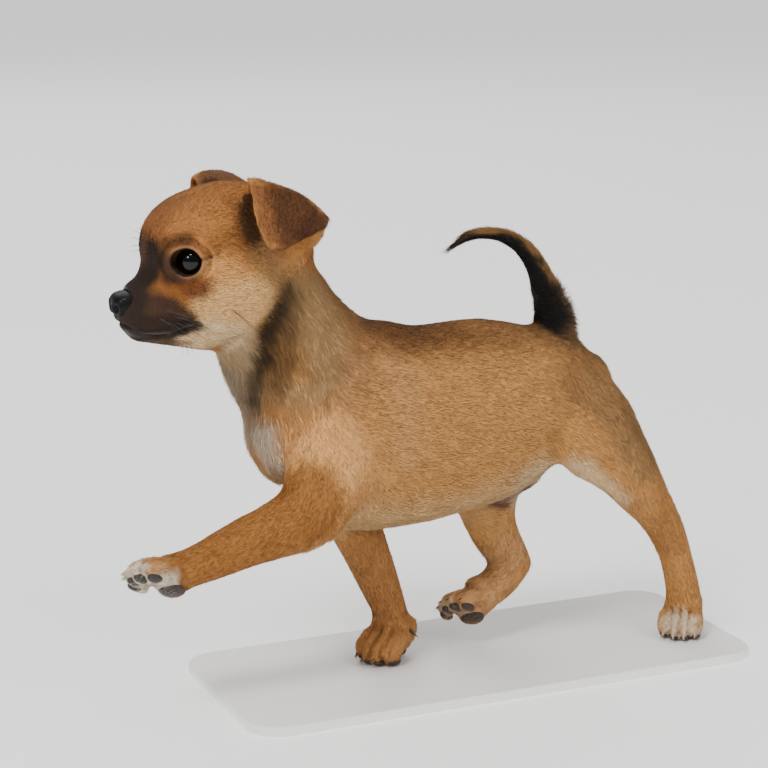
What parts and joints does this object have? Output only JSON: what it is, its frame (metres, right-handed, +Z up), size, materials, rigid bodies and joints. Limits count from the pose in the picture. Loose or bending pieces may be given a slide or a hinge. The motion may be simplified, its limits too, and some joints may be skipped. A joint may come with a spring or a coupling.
{
  "type": "chihuahua puppy model",
  "caption": "Life-size smooth-coated chihuahua puppy model in mid-stride, ears folded and tail curled up, on a thin flat base.",
  "frame": {"origin": "centre of the bounding box on the underside of the base", "axes": "+X from the nose towards the tail, +Y towards the animal's right side, +Z up"},
  "size_m": [0.281, 0.0972, 0.2244],
  "materials": {
    "coat_fawn": "short smooth fawn coat",
    "coat_sable": "short dark sable coat",
    "coat_cream": "short cream coat",
    "nose_leather": "moist black",
    "eye_dark": "polished, very dark brown",
    "base_plate": "matte off-white"
  },
  "bodies": {
    "root": {"head": "coat_fawn", "nose": "nose_leather", "eye_left": "eye_dark", "eye_right": "eye_dark", "ear_left": "coat_sable", "ear_right": "coat_sable", "neck": "coat_fawn", "torso": "coat_fawn", "tail_base": "coat_sable", "tail_middle": "coat_sable", "tail_tip": "coat_sable", "foreleg_left_upper": "coat_fawn", "foreleg_left_lower": "coat_fawn", "foreleg_left_paw": "coat_cream", "foreleg_right_upper": "coat_fawn", "foreleg_right_lower": "coat_fawn", "foreleg_right_paw": "coat_fawn", "hindleg_left_upper": "coat_fawn", "hindleg_left_lower": "coat_fawn", "hindleg_left_paw": "coat_cream", "hindleg_right_upper": "coat_fawn", "hindleg_right_lower": "coat_fawn", "hindleg_right_paw": "coat_cream", "stand_base": "base_plate"}
  },
  "joints": []
}
